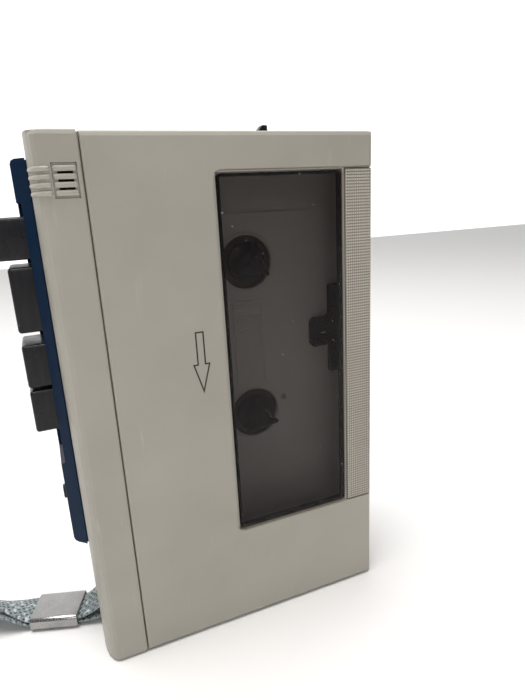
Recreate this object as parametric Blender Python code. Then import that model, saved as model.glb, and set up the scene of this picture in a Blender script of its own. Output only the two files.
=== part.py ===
"""Portable cassette dictation machine, modelled piece by piece.

Sizes below are millimetres in the body's own coordinates: x from the left side of the casing towards
the right, y from the front face towards the back, z up from the bottom face. The world frame is in metres
with its origin at the middle of the underside: +X right, the front faces -Y, +Z up.
"""

import math

import bmesh
import bpy
from mathutils import Matrix, Vector

MM = 0.001
FIT = 0.3             # gap between pieces that touch
RUN = 0.1             # radial gap of a running fit

# Casing
BODY_W = 80.6
BODY_H = 130.0
BODY_D = 32.0
WALL = 1.6
DOOR_D = 11.0         # depth of the door and of the front strip
STRIP_W = 9.95        # fixed strip at the left of the door
STRIP_ROUND_W = 3.0
STRIP_ROUND_D = 8.0
SEAM = 0.5
EDGE_R = 1.1
SKIN = 2.0            # thickness of the door's face
DOOR_RIM = 1.4
DOOR_INSET = 0.3

# Door features
RECESS_LEFT = 37.9
RECESS_LOW = 27.7
RECESS_HIGH = 121.5
RECESS_DEPTH = 0.8
PANE_LEFT = 39.0
PANE_RIGHT = 71.7
PANE_LOW = 28.4
PANE_HIGH = 120.6
PANE_FLANGE = 1.2
GRIP_LEFT = 72.8
GRIP_LOW = 27.9
GRIP_HIGH = 120.9
GRIP_T = 1.0
HINGE_X = 11.8
HINGE_Y = 1.35
HINGE_ROD_R = 0.4
HINGE_BAR = 2.7
HINGE_FILLET = 0.6    # lets the door's left edge turn clear of the front strip
LUG_R = 0.85
LUG_Z = (7.0, 123.0)
LUG_H = 4.0

# Cassette deck and drive
DECK_Y = 12.0         # surface of the raised deck
DECK_T = 1.4
REEL_X = 49.3
REEL_Z = (56.4, 98.9)
DECK_HOLE_R = 7.25
SPINDLE_R = 2.9
VANE_R = 4.7
TIP_Y = 4.0            # point of the spindles
TABLE_R = 10.0
TABLE_Y = (13.8, 16.8)
POST_R = 1.0
CAPSTAN_X = 22.3
CAPSTAN_Z = 50.9
CAPSTAN_R = 1.0
DRIVE_R = 4.0         # small wheel on the capstan shaft
CHASSIS_Y = 17.3
CHASSIS_T = 1.0
FLYWHEEL_R = 16.0
FLYWHEEL_Y = 25.8
FLYWHEEL_T = 3.0
BELT_T = 1.2
MOTOR_X = 67.7
MOTOR_Z = 46.2
MOTOR_R = 10.5
PULLEY_R = 2.2
HEAD_TRAVEL = 3.0

# Keys on the left side
PANEL_OUT = 3.4       # how far the side panel stands proud
PANEL_Y = (9.6, 28.0)
PANEL_Z = (30.7, 125.5)
KEY_WELL_Y = (11.7, 25.2)
KEY_WELL_Z = (55.0, 116.4)
KEY_Y = (12.2, 24.5)
KEY_IN = 2.0
KEYS = {"record_key": (104.1, 113.5, 10.0), "play_key": (87.4, 102.5, 7.6),
        "rewind_key": (73.95, 84.5, 7.6), "forward_key": (62.65, 73.2, 7.6)}
SWITCH_Z = 42.8
SWITCH_Y = 18.0

# Power, sound and controls
TRAY_X = (23.0, BODY_W - WALL - FIT)
TRAY_Z = (WALL + FIT, 33.3)
TRAY_Y = (13.8, BODY_D - WALL - FIT)
TRAY_WALL = 1.2
SPEAKER_X = 24.0
SPEAKER_Z = 97.0
SPEAKER_R = 18.0
BOARD_X = (44.0, 78.0)
BOARD_Z = (64.0, 116.0)
BOARD_Y = 20.5
BOARD_T = 1.4
WHEEL_R = 8.5
WHEEL_X = 73.0
WHEEL_Z = 104.0
WHEEL_Y = 25.5
WHEEL_T = 2.8
TOP_KNOB_X = 57.5
TOP_KNOB_H = 3.1
JACK_X = (14.6, 25.8)
JACK_Y = (12.9, 21.0)
JACK_PROUD = 1.4
JACK_DEPTH = 11.0      # of the sockets
SCREWS = ((7.0, 14.0), (7.0, 122.0), (73.5, 122.0), (73.5, 62.0))

# Wrist strap: a flat braid round the strap bar, through a sleeve and out into a loop.
BAR_X = 3.2
BAR_Y = 19.7
BAR_Z = 4.8
BAR_R = 1.2
STRAP_ANGLE = math.radians(161)
STRAP_W = 9.8
STRAP_T = 1.0
SLEEVE = (8.2, 21.5, 0.15, 4.05)
SLEEVE_WALL = 0.5
# Route of the braid's middle: distance along the strap from the bar, sideways, height, lean in degrees.
STRAP_ROUTE = (
    (14.6, 0, 2.75, 0), (8.4, 0, 2.75, 0), (5.0, 0, 4.3, 0), (2.4, 0, 6.3, 0), (0, 0, 6.9, 0),
    (-1.6, 0, 6.2, 0), (-2.2, 0, 4.8, 0), (-1.6, 0, 3.4, 0), (0, 0, 2.7, 0), (3.0, 0, 2.4, 0),
    (8.0, 0, 1.45, 0), (14.6, 0, 1.45, 0), (21.3, 0, 1.45, 0), (27, -0.9, 2.5, 18), (36, -3.6, 4.6, 55),
    (48, -7.6, 5.1, 90), (64, -11.6, 5.1, 90), (82, -14.3, 5.1, 90), (100, -14.8, 5.1, 90),
    (116, -12.4, 5.1, 90), (128, -7.0, 5.1, 90), (132, 0, 5.1, 90), (128, 7.0, 5.1, 90),
    (116, 12.4, 5.1, 90), (100, 14.8, 5.1, 90), (82, 14.3, 5.1, 90), (64, 11.6, 5.1, 90),
    (48, 7.6, 5.1, 90), (36, 3.6, 5.1, 55), (27, 0.9, 3.7, 18), (21.3, 0, 2.75, 0), (15.3, 0, 2.75, 0))
STRAP_STEPS = 3

# Colour, roughness and metallic value of each finish
FINISHES = {
    "beige": ((0.50, 0.48, 0.43), 0.5, 0.0), "navy": ((0.02, 0.045, 0.10), 0.45, 0.0),
    "black": ((0.02, 0.02, 0.022), 0.45, 0.0), "deck": ((0.12, 0.11, 0.10), 0.5, 0.0),
    "smoked": ((0.10, 0.10, 0.10), 0.1, 0.0), "steel": ((0.60, 0.60, 0.58), 0.35, 1.0),
    "brass": ((0.72, 0.55, 0.25), 0.35, 1.0), "rubber": ((0.03, 0.03, 0.03), 0.8, 0.0),
    "board": ((0.10, 0.25, 0.12), 0.6, 0.0), "braid": ((0.30, 0.33, 0.34), 0.9, 0.0)}

CENTRE_X = (WHEEL_X + WHEEL_R - max(key[2] for key in KEYS.values())) / 2


def world(point):
    """A point in body coordinates, as a place in the world in metres."""
    return Vector(((point[0] - CENTRE_X) * MM, (point[1] - BODY_D / 2) * MM, point[2] * MM))


def block(low, high):
    """A rectangular block between two corners."""
    mesh = bmesh.new()
    bmesh.ops.create_cube(mesh, size=1.0)
    for vert in mesh.verts:
        vert.co = Vector([low[i] if vert.co[i] < 0 else high[i] for i in range(3)])
    return mesh


def rounded(mesh, radius, chosen, segments=2):
    """Rounds the edges that chosen accepts, given their two end points."""
    edges = [edge for edge in mesh.edges if chosen(edge.verts[0].co, edge.verts[1].co)]
    bmesh.ops.bevel(mesh, geom=edges, offset=radius, segments=segments, profile=0.5, affect="EDGES")
    return mesh


def on_plane(axis, value):
    """Accepts the edges that lie in the plane where the axis has this value."""
    return lambda a, b: abs(a[axis] - value) < 1e-4 and abs(b[axis] - value) < 1e-4


def prism(outline, axis, low, high):
    """An outline in the plane across an axis, extruded along it."""
    mesh = bmesh.new()
    others = [i for i in range(3) if i != axis]
    rings = []
    for level in (low, high):
        ring = []
        for u, v in outline:
            point = [0.0, 0.0, 0.0]
            point[axis], point[others[0]], point[others[1]] = level, u, v
            ring.append(mesh.verts.new(point))
        rings.append(ring)
    mesh.faces.new(rings[0])
    mesh.faces.new(list(reversed(rings[1])))
    for i in range(len(outline)):
        j = (i + 1) % len(outline)
        mesh.faces.new((rings[0][i], rings[0][j], rings[1][j], rings[1][i]))
    return mesh


def turned(profile, centre, axis=1, sides=16):
    """A closed profile of (radius, place along the axis) turned about an axis through centre."""
    mesh = bmesh.new()
    others = [i for i in range(3) if i != axis]
    rings = []
    for radius, along in profile:
        ring = []
        for step in range(sides if radius > 0 else 1):
            angle = 2 * math.pi * step / sides
            point = [0.0, 0.0, 0.0]
            point[axis] = along
            point[others[0]] = centre[0] + radius * math.cos(angle)
            point[others[1]] = centre[1] + radius * math.sin(angle)
            ring.append(mesh.verts.new(point))
        rings.append(ring)
    closed = profile[0][0] > 0
    for i in range(len(rings) if closed else len(rings) - 1):
        a, b = rings[i], rings[(i + 1) % len(rings)]
        for step in range(sides):
            after = (step + 1) % sides
            corners = [a[step % len(a)], a[after % len(a)], b[after % len(b)], b[step % len(b)]]
            mesh.faces.new(list(dict.fromkeys(corners)))
    return mesh


def disc(centre, radius, low, high, bore=0.0, axis=1, sides=16):
    """A plain disc or rod, or a ring where it has a bore."""
    if bore:
        profile = ((bore, low), (radius, low), (radius, high), (bore, high))
    else:
        profile = ((0, low), (radius, low), (radius, high), (0, high))
    return turned(profile, centre, axis, sides)


def to_object(mesh, name):
    """Moves a mesh into the world and links it as an object."""
    for vert in mesh.verts:
        vert.co = world(vert.co)
    bmesh.ops.recalc_face_normals(mesh, faces=mesh.faces)
    data = bpy.data.meshes.new(name)
    mesh.to_mesh(data)
    mesh.free()
    obj = bpy.data.objects.new(name, data)
    bpy.context.scene.collection.objects.link(obj)
    return obj


def part(name, finish, mesh, joins=(), cuts=(), pivot=None, smooth=False):
    """Makes one node: joins and cuts its meshes, gives it its finish and puts its origin on its pivot."""
    obj = to_object(mesh, name)
    tools = []
    for operation, group in (("UNION", joins), ("DIFFERENCE", cuts)):
        for tool_mesh in group:
            tool = to_object(tool_mesh, "tool")
            modifier = obj.modifiers.new(operation.title(), "BOOLEAN")
            modifier.operation = operation
            modifier.solver = "EXACT"
            modifier.object = tool
            tools.append(tool)
    if tools:
        shaped = bpy.data.meshes.new_from_object(obj.evaluated_get(bpy.context.evaluated_depsgraph_get()))
        obj.modifiers.clear()
        obj.data = shaped
        for tool in tools:
            bpy.data.objects.remove(tool)
    if pivot:
        place = world(pivot)
        obj.data.transform(Matrix.Translation(-place))
        obj.location = place
    colour, roughness, metallic = FINISHES[finish]
    material = bpy.data.materials.new(name)
    material.use_nodes = True
    shader = material.node_tree.nodes["Principled BSDF"]
    shader.inputs["Base Color"].default_value = (*colour, 1.0)
    shader.inputs["Roughness"].default_value = roughness
    shader.inputs["Metallic"].default_value = metallic
    obj.data.materials.clear()
    obj.data.materials.append(material)
    if smooth:
        obj.data.shade_smooth()
        obj.data.set_sharp_from_angle(angle=math.radians(35))
    return obj


def ellipse_edge(inset=0.0):
    """The strip's rounded left edge, from its side to its face, seen from above."""
    points = []
    for step in range(6):
        angle = math.pi / 2 * step / 5
        x = STRIP_ROUND_W * (1 - math.cos(angle)) + inset * math.cos(angle)
        y = STRIP_ROUND_D * (1 - math.sin(angle)) + inset * math.sin(angle)
        points.append((x, y))
    return points


def hull_of_circles(first, second, sides=14):
    """The outline round two circles (x, z, radius), as a belt takes it."""
    dx, dz = second[0] - first[0], second[1] - first[1]
    heading = math.atan2(dz, dx)
    spread = math.acos((first[2] - second[2]) / math.hypot(dx, dz))
    points = []
    for (x, z, radius), start, end in ((first, heading + spread, heading + 2 * math.pi - spread),
                                       (second, heading - spread, heading + spread)):
        for step in range(sides + 1):
            angle = start + (end - start) * step / sides
            points.append((x + radius * math.cos(angle), z + radius * math.sin(angle)))
    return points


def casing():
    """The front strip, the rear cabinet, its screws and the battery cover."""
    outer = ellipse_edge() + [(STRIP_W, 0), (STRIP_W, DOOR_D), (0, DOOR_D)]
    inner = ellipse_edge(1.4) + [(STRIP_W - 1.2, 1.4), (STRIP_W - 1.2, DOOR_D + 1), (1.4, DOOR_D + 1)]
    strip = rounded(prism(outer, 2, 0, BODY_H), 1.0,
                    lambda a, b: abs(a.z - b.z) < 1e-4 and a.y < 6 and b.y < 6)
    mic = (4.3, 9.3, 116.6, 123.6)
    part("front_strip", "beige", strip, smooth=True, cuts=(
        prism(inner, 2, WALL, BODY_H - WALL),
        block((7.0, 3.0, WALL), (STRIP_W + 1, DOOR_D + 1, BODY_H - WALL)),
        block((mic[0], -1, mic[2]), (mic[1], 3, mic[3]))))
    slots = [block((5.3, -1, z - 0.35), (8.4, 2, z + 0.35)) for z in (118.5, 120.1, 121.7)]
    part("mic_grille", "beige", block((mic[0] + FIT, 0.15, mic[2] + FIT), (mic[1] - FIT, 1.1, mic[3] - FIT)),
         cuts=slots)
    part("microphone", "black", disc((6.6, 120.1), 2.9, 3.3, 7.0, sides=16), smooth=True)

    shell = block((0, DOOR_D + FIT, 0), (BODY_W, BODY_D, BODY_H))
    rounded(shell, 2.4, on_plane(1, BODY_D))
    ribs = [block((WALL - 0.2, y, WALL - 0.2), (BAR_X + 2.4, y + 1.0, BAR_Z + 3.0)) for y in (11.9, 27.0)]
    well = 0.4
    cuts = [
        block((-1, DOOR_D - 1, KEY_WELL_Z[0] + 1), (WALL + 1, KEY_WELL_Y[1] - well, KEY_WELL_Z[1] - 1)),
        block((-1, 13.6, 1.2), (WALL + 0.4, 26.4, 8.4)),
        block((-1, SWITCH_Y - 1.6, SWITCH_Z - 4), (WALL + 1, SWITCH_Y + 1.6, SWITCH_Z + 4)),
        block((TOP_KNOB_X - 4, 15.4, BODY_H - 3), (TOP_KNOB_X + 4, 18.6, BODY_H + 1)),
        block((JACK_X[0] + 0.6, JACK_Y[0] + 0.6, BODY_H - 3), (JACK_X[1] - 0.6, JACK_Y[1] - 0.6, BODY_H + 1)),
        block((BODY_W - WALL - 1, WHEEL_Y - FIT, WHEEL_Z - 8), (BODY_W + 1, WHEEL_Y + WHEEL_T + FIT, WHEEL_Z + 8)),
        block((TRAY_X[0] + 1, BODY_D - WALL - 1, TRAY_Z[0] + 1), (BODY_W + 1, BODY_D + 1, TRAY_Z[1] - 1))]
    cuts += [turned(((0, 29), (1.5, 29), (1.5, 31), (2.7, 31), (2.7, 34), (0, 34)), place, sides=12)
             for place in SCREWS]
    cuts += [block((13, BODY_D - 3, z), (35, BODY_D + 1, z + 1.4)) for z in range(85, 110, 4)]
    cavity = block((WALL, DOOR_D - 1, WALL), (BODY_W - WALL, BODY_D - WALL, BODY_H - WALL))
    cabinet = part("rear_cabinet", "beige", shell, cuts=[cavity], smooth=True)
    bores = [disc((BAR_X, BAR_Z), BAR_R + FIT, 11, 29, sides=12)]
    reshape(cabinet, ribs, cuts + bores)

    for number, place in enumerate(SCREWS, 1):
        part(f"back_screw_{number}", "steel", turned(
            ((0, 25.5), (1.2, 25.5), (1.2, 31.3), (2.3, 31.3), (2.3, 31.9), (0, 31.9)), place, sides=12), smooth=True)
    cover = block((TRAY_X[0] + 1.3, BODY_D - WALL + FIT, TRAY_Z[0] + 1.3), (BODY_W - 0.4, BODY_D, TRAY_Z[1] - 1.3))
    finger = [block((TRAY_X[0] + 6 + 2 * i, BODY_D - 0.5, 12), (TRAY_X[0] + 7 + 2 * i, BODY_D + 1, 24))
              for i in range(4)]
    part("battery_cover", "beige", cover, cuts=finger)
    x0, x1 = TRAY_X
    z0, z1 = TRAY_Z
    part("battery_tray", "black", block((x0, TRAY_Y[0], z0), (x1, TRAY_Y[1], z1)), cuts=[
        block((x0 + TRAY_WALL, TRAY_Y[0] + TRAY_WALL, z0 + TRAY_WALL),
              (x1 - TRAY_WALL, TRAY_Y[1] + 1, z1 - TRAY_WALL))])
    for name, x in (("left", x0 + TRAY_WALL + FIT), ("right", x1 - TRAY_WALL - FIT - 0.4)):
        part(f"battery_contact_{name}", "steel", block((x, 18, 5.5), (x + 0.4, 27, 29.5)))


def reshape(obj, joins, cuts):
    """Joins and then cuts a made node with further meshes."""
    tools = []
    for operation, group in (("UNION", joins), ("DIFFERENCE", cuts)):
        for tool_mesh in group:
            tool = to_object(tool_mesh, "tool")
            modifier = obj.modifiers.new(operation.title(), "BOOLEAN")
            modifier.operation = operation
            modifier.solver = "EXACT"
            modifier.object = tool
            tools.append(tool)
    material = obj.data.materials[0]
    shaped = bpy.data.meshes.new_from_object(obj.evaluated_get(bpy.context.evaluated_depsgraph_get()))
    obj.modifiers.clear()
    obj.data = shaped
    for tool in tools:
        bpy.data.objects.remove(tool)
    obj.data.materials.clear()
    obj.data.materials.append(material)


def door():
    """The cassette door with its window, grip, hinge rod and inner spring; its pivot is the rod."""
    left = STRIP_W + SEAM
    low, high = DOOR_INSET, BODY_H - DOOR_INSET
    shell = block((left, 0, low), (BODY_W, DOOR_D, high))
    front = on_plane(1, 0)
    rounded(shell, EDGE_R, lambda a, b: front(a, b) and not (a.x < left + 1 and b.x < left + 1))
    rounded(shell, HINGE_FILLET, lambda a, b: a.x < left + 0.01 and b.x < left + 0.01 and a.y < 0.01 and b.y < 0.01)
    rounded(shell, 1.0, lambda a, b: a.x > BODY_W - 0.01 and b.x > BODY_W - 0.01 and abs(a.z - b.z) < 1e-4
            and abs(a.y - b.y) > 5)
    pivot = (HINGE_X, HINGE_Y, BODY_H / 2)
    made = part("door", "beige", shell, smooth=True, cuts=[
        block((left + HINGE_BAR, SKIN, low + DOOR_RIM), (BODY_W - DOOR_RIM, DOOR_D + 1, high - DOOR_RIM)),
        block((left - 1, 3.2, low + DOOR_RIM), (left + HINGE_BAR + 1, DOOR_D + 1, high - DOOR_RIM))])
    recess = rounded(block((RECESS_LEFT, -1, RECESS_LOW), (BODY_W + 1, RECESS_DEPTH, RECESS_HIGH)), 2.0,
                     lambda a, b: a.x < RECESS_LEFT + 1 and b.x < RECESS_LEFT + 1 and abs(a.y - b.y) > 0.5)
    opening = block((PANE_LEFT - FIT, -1, PANE_LOW - FIT), (PANE_RIGHT + FIT, SKIN + 1, PANE_HIGH + FIT))
    pocket = block((GRIP_LEFT - FIT, -1, GRIP_LOW - FIT), (BODY_W + 1, 0.1 + GRIP_T + FIT, GRIP_HIGH + FIT))
    notches = [block((left - 1, 0.4, z - LUG_H / 2 - 0.4), (left + HINGE_BAR - 0.1, DOOR_D, z + LUG_H / 2 + 0.4))
               for z in LUG_Z]
    bore = disc((HINGE_X, HINGE_Y), HINGE_ROD_R + RUN, -1, BODY_H - 3.0, axis=2, sides=16)
    reshape(made, (), [recess, opening, pocket, bore] + notches)
    move_pivot(made, pivot)

    pane = block((PANE_LEFT, 0.35, PANE_LOW), (PANE_RIGHT, SKIN + FIT + 0.2, PANE_HIGH))
    flange = block((PANE_LEFT - PANE_FLANGE, SKIN + FIT, PANE_LOW - PANE_FLANGE),
                   (PANE_RIGHT + PANE_FLANGE, SKIN + FIT + 0.7, PANE_HIGH + PANE_FLANGE))
    part("window_pane", "smoked", pane, joins=[flange], pivot=pivot)
    grip = block((GRIP_LEFT, 0.1, GRIP_LOW), (BODY_W - 0.1, 0.1 + GRIP_T, GRIP_HIGH))
    part("grip_strip", "beige", grip, pivot=pivot)
    leaf = prism(((18, 2.4), (26, 2.4), (34, 3.6), (36.5, 3.3), (36.5, 3.6), (34, 3.9), (26, 2.8), (18, 2.8)),
                 2, 66, 89)
    part("cassette_spring", "steel", leaf, pivot=pivot)
    part("door_hinge_rod", "steel", disc((HINGE_X, HINGE_Y), HINGE_ROD_R, 1.0, BODY_H - 3.5, axis=2, sides=16),
         smooth=True)
    part("door_catch", "steel", prism(((77.4, 6.0), (78.4, 8.0), (78.4, 11.6), (78.0, 11.6), (78.0, 8.2), (77.1, 6.2)),
                                      2, 72, 82))


def move_pivot(obj, point):
    """Puts an object's origin on a point given in body coordinates."""
    place = world(point)
    obj.data.transform(Matrix.Translation(-place))
    obj.location = place


def deck():
    """The deck moulding with its hinge lugs, the chassis behind it and the cassette guide."""
    lugs = [disc((HINGE_X, HINGE_Y), LUG_R, z - LUG_H / 2, z + LUG_H / 2, axis=2, sides=16) for z in LUG_Z]
    lugs += [block((HINGE_X - LUG_R, HINGE_Y, z - LUG_H / 2), (HINGE_X + LUG_R, DECK_Y + 1.2, z + LUG_H / 2))
             for z in LUG_Z]
    right = BODY_W - WALL - FIT
    low, high = WALL + 0.4, BODY_H - WALL - 0.4
    outline = ((11.0, low), (right, low), (right, high), (11.0, high), (11.0, 114.0), (24.5, 114.0),
               (24.5, 42.0), (11.0, 42.0))
    raised = block((25.0, DECK_Y, 25.1), (70.9, DECK_Y + 0.9, 111.4))
    cuts = [disc((REEL_X, z), DECK_HOLE_R, 10, 16, sides=32) for z in REEL_Z]
    cuts += [disc((HINGE_X, HINGE_Y), HINGE_ROD_R + RUN, z - LUG_H, z + LUG_H, axis=2, sides=16) for z in LUG_Z]
    part("deck_plate", "deck", prism(outline, 1, DECK_Y + 0.6, DECK_Y + DECK_T), joins=lugs + [raised], cuts=cuts)

    guide_y = DECK_Y - 0.3
    shape = ((76.6, 64.9), (76.6, 90.6), (73.2, 90.6), (73.2, 82.5), (72.0, 81.7), (68.2, 81.7), (67.2, 80.7),
             (67.2, 74.0), (68.2, 73.0), (73.2, 73.0), (73.2, 64.9))
    part("cassette_guide", "black", prism(shape, 1, guide_y - 1.1, guide_y))

    plate = block((11.7, CHASSIS_Y, 36.0), (76.0, CHASSIS_Y + CHASSIS_T, 112.0))
    face = CHASSIS_Y + 0.4
    studs = [disc((12.6, z), 0.8, 13.2, face, sides=10) for z in (62.0, 104.0)]
    studs += [disc((REEL_X, z), POST_R, 8.5, face, sides=12) for z in REEL_Z]
    studs += [disc(idler_place(), POST_R, 13.7, face, sides=12)]
    part("chassis", "steel", plate, joins=studs, smooth=True, cuts=[
        disc((MOTOR_X, MOTOR_Z), MOTOR_R + 0.4, 16, 20, sides=24), block((MOTOR_X, 16, 30), (80, 20, MOTOR_Z)),
        disc((CAPSTAN_X, CAPSTAN_Z), 2.9, 16, 20, sides=16)])


def idler_radius():
    """The idler fills the way from the drive wheel to the take-up table."""
    reach = math.hypot(REEL_X - CAPSTAN_X, REEL_Z[0] - CAPSTAN_Z)
    return (reach - TABLE_R - DRIVE_R) / 2 - FIT


def idler_place():
    """Centre of the idler, on the line from the capstan to the take-up reel."""
    reach = math.hypot(REEL_X - CAPSTAN_X, REEL_Z[0] - CAPSTAN_Z)
    share = (DRIVE_R + FIT + idler_radius()) / reach
    return (CAPSTAN_X + share * (REEL_X - CAPSTAN_X), CAPSTAN_Z + share * (REEL_Z[0] - CAPSTAN_Z))


def reels():
    """Each reel has a spindle with three vanes and, under the deck, its drive table."""
    bore = POST_R + RUN
    for name, z, turn in (("takeup", REEL_Z[0], math.radians(-15)), ("supply", REEL_Z[1], math.radians(-40))):
        centre = (REEL_X, z)
        pivot = (REEL_X, DECK_Y, z)
        core = spindle_core(centre)
        vanes = []
        for step in range(3):
            angle = turn + 2 * math.pi * step / 3
            vanes.append(vane(centre, angle))
        part(f"{name}_spindle", "black", core, joins=vanes, pivot=pivot, smooth=True)
        table = turned(((bore, TABLE_Y[0]), (TABLE_R, TABLE_Y[0]), (TABLE_R, TABLE_Y[1]), (bore, TABLE_Y[1])),
                       centre, sides=32)
        part(f"{name}_reel_table", "black", table, pivot=pivot, smooth=True)


def spindle_core(centre):
    """The turned body of a spindle: a flange under the deck's surface, a post and a pointed tip."""
    bore = POST_R + RUN
    profile = ((0, 8.2), (bore, 8.2), (bore, 13.5), (SPINDLE_R, 13.5), (SPINDLE_R, 12.2), (5.2, 12.2),
               (5.2, 11.4), (SPINDLE_R, 11.4), (SPINDLE_R, TIP_Y + 2.4), (1.0, TIP_Y + 0.2), (0, TIP_Y))
    return turned(profile, centre, sides=18)


def vane(centre, angle):
    """One vane of a spindle, a tapered blade from its core to VANE_R."""
    half = 0.55
    outline = ((1.5, 11.8), (VANE_R, 11.8), (VANE_R, TIP_Y + 3.6), (1.5, TIP_Y + 1.2))
    mesh = prism(outline, 2, -half, half)
    for vert in mesh.verts:
        along, depth, side = vert.co
        vert.co = (centre[0] + along * math.cos(angle) - side * math.sin(angle), depth,
                   centre[1] + along * math.sin(angle) + side * math.cos(angle))
    return mesh


def drive():
    """Capstan, flywheel, belt, motor, pulley and idler."""
    centre = (CAPSTAN_X, CAPSTAN_Z)
    pivot = (CAPSTAN_X, FLYWHEEL_Y, CAPSTAN_Z)
    part("capstan_shaft", "steel", disc(centre, CAPSTAN_R, 4.2, 29.6, sides=16), pivot=pivot, smooth=True)
    part("capstan_bearing", "brass", disc(centre, 2.6, CHASSIS_Y - 0.2, 25.4, bore=CAPSTAN_R + RUN), smooth=True)
    part("drive_wheel", "rubber", disc(centre, DRIVE_R, *(y + d for y, d in zip(TABLE_Y, (0, -0.1))),
                                       bore=CAPSTAN_R + FIT, sides=20), pivot=pivot, smooth=True)
    groove = FLYWHEEL_R - 0.8
    back = FLYWHEEL_Y + FLYWHEEL_T
    part("flywheel", "brass", turned((
        (CAPSTAN_R + FIT, FLYWHEEL_Y), (FLYWHEEL_R, FLYWHEEL_Y), (FLYWHEEL_R, FLYWHEEL_Y + 0.5),
        (groove, FLYWHEEL_Y + 0.6), (groove, back - 0.6), (FLYWHEEL_R, back - 0.5), (FLYWHEEL_R, back),
        (CAPSTAN_R + FIT, back)), centre, sides=40), pivot=pivot, smooth=True)
    middle = FLYWHEEL_Y + FLYWHEEL_T / 2
    outer = hull_of_circles((*centre, groove + FIT + BELT_T), (MOTOR_X, MOTOR_Z, PULLEY_R + FIT + BELT_T))
    inner = hull_of_circles((*centre, groove + FIT), (MOTOR_X, MOTOR_Z, PULLEY_R + FIT))
    belt = prism(outer, 1, middle - BELT_T / 2, middle + BELT_T / 2)
    part("drive_belt", "rubber", belt, cuts=[prism(inner, 1, middle - BELT_T, middle + BELT_T)])
    motor = (MOTOR_X, MOTOR_Z)
    part("motor", "steel", turned(((0, 13.9), (MOTOR_R - 1, 13.9), (MOTOR_R, 14.9), (MOTOR_R, 24.2),
                                   (MOTOR_R - 1, 25.1), (0, 25.1)), motor, sides=28), smooth=True)
    part("motor_pulley", "brass", turned((
        (0, 25.5), (4.2, 25.5), (4.2, 26.2), (PULLEY_R, 26.4), (PULLEY_R, 28.2), (4.2, 28.4), (4.2, 29.0),
        (0, 29.0)), motor, sides=16), pivot=(MOTOR_X, middle, MOTOR_Z), smooth=True)
    place = idler_place()
    part("takeup_idler", "rubber", disc(place, idler_radius(), 13.9, 16.6, bore=POST_R + RUN, sides=24),
         pivot=(place[0], 15.2, place[1]), smooth=True)


def heads():
    """The head plate, which the play key pushes towards the tape, and all that it carries."""
    plate = block((7.0, 13.9, 44.0), (14.6, 14.9, 109.0))
    tab = block((9.0, 14.7, 92.8), (9.5, 17.0, 97.2))
    slots = [block((12.6 - 1.1 - HEAD_TRAVEL, 13, z - 1.1), (12.6 + 1.1, 16, z + 1.1)) for z in (62.0, 104.0)]
    centre = (CAPSTAN_X - CAPSTAN_R - FIT - 5.0 - HEAD_TRAVEL, CAPSTAN_Z)
    bracket = block((centre[0] - 2, 12.3, centre[1] - 6), (centre[0] + 2, 14.2, centre[1] + 5))
    axle = disc(centre, 0.9, 4.2, 13.0, sides=12)
    part("head_plate", "steel", plate, joins=[tab, bracket, axle], cuts=slots)
    head = rounded(block((8.6, 4.8, 71.7), (14.7, 13.6, 83.6)), 1.8,
                   lambda a, b: a.x > 14 and b.x > 14 and abs(a.z - b.z) < 1e-4 and abs(a.y - b.y) > 2, 3)
    part("record_play_head", "steel", head, smooth=True)
    part("erase_head", "black", rounded(block((10.2, 5.2, 90.5), (14.6, 13.6, 97.5)), 1.2,
                                        lambda a, b: a.x > 14 and b.x > 14 and abs(a.y - b.y) > 2))
    part("pinch_roller", "rubber", disc(centre, 5.0, 4.8, 11.8, bore=0.9 + RUN, sides=24),
         pivot=(centre[0], 8.0, centre[1]), smooth=True)


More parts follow.
